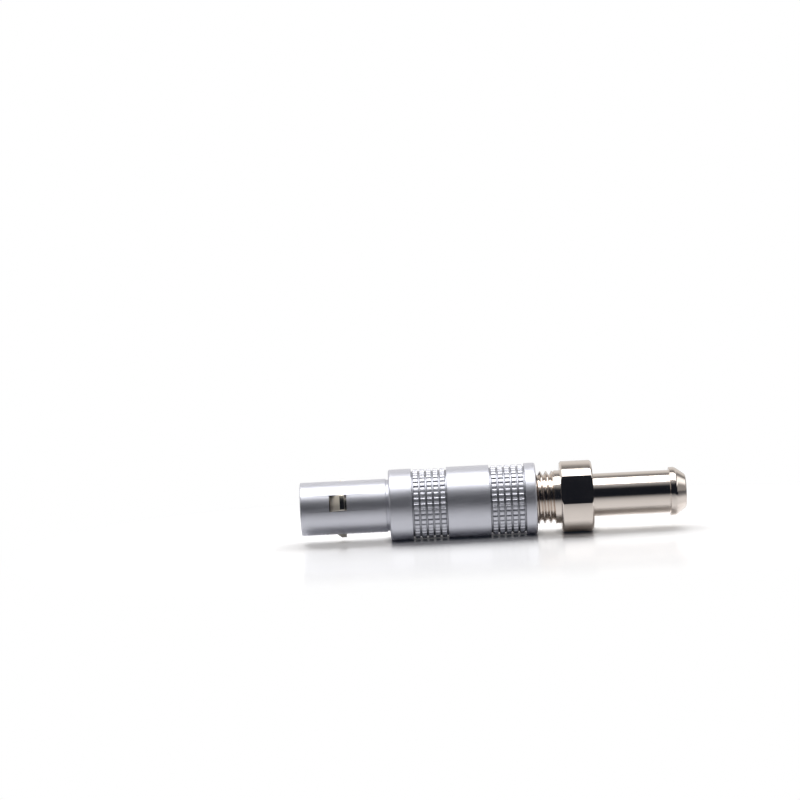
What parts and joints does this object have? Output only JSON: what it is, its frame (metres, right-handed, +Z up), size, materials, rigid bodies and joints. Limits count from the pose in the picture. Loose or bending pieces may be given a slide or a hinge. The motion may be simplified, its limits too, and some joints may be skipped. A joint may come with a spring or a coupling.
{
  "type": "push pull circular connector plug",
  "caption": "Straight push-pull coaxial cable plug: latching nose with spring teeth, knurled release grip, and a threaded clamp nut with a barbed spigot.",
  "frame": {"origin": "centre of the nose's front rim, on the plug's axis", "axes": "+X along the axis, from the nose to the cable; +Z up, with the plug lying on its side"},
  "size_m": [0.0651, 0.012, 0.012],
  "materials": {
    "satin_chrome": "satin chrome plating",
    "bright_nickel": "polished nickel plating",
    "nickel_brass": "nickel plating on brass",
    "spring_nickel": "nickel plating on spring bronze",
    "gold_plating": "gold plating",
    "white_insulator": "white insulating plastic"
  },
  "bodies": {
    "core": {"latch_sleeve": "spring_nickel", "inner_sleeve": "nickel_brass", "contact_carrier": "nickel_brass", "front_insulator": "white_insulator", "rear_insulator": "white_insulator", "retaining_ring": "spring_nickel", "centre_contact": "gold_plating", "braid_cone": "nickel_brass"},
    "shell": {"outer_shell": "satin_chrome"},
    "collet": {"cable_collet": "nickel_brass", "thrust_washer": "nickel_brass"},
    "nut": {"clamp_nut": "bright_nickel"}
  },
  "joints": [
    {"name": "release_slide", "type": "slide", "parent": "core", "child": "shell", "axis": [1, 0, 0], "range_m": [0, 0.0015], "stiffness_N_per_m": 2000, "deforming": ["latch_sleeve"]},
    {"name": "nut_travel", "type": "slide", "parent": "core", "child": "collet", "axis": [1, 0, 0], "range_m": [-0.0024, 0.003]},
    {"name": "nut_turn", "type": "hinge", "parent": "collet", "child": "nut", "pos_m": [0.0352, 0, 0], "axis": [1, 0, 0], "range_deg": [-864, 1080]}
  ],
  "couplings": [
    {"joint": "nut_travel", "follows": "nut_turn", "m_per_rad": 0.00015915}
  ]
}
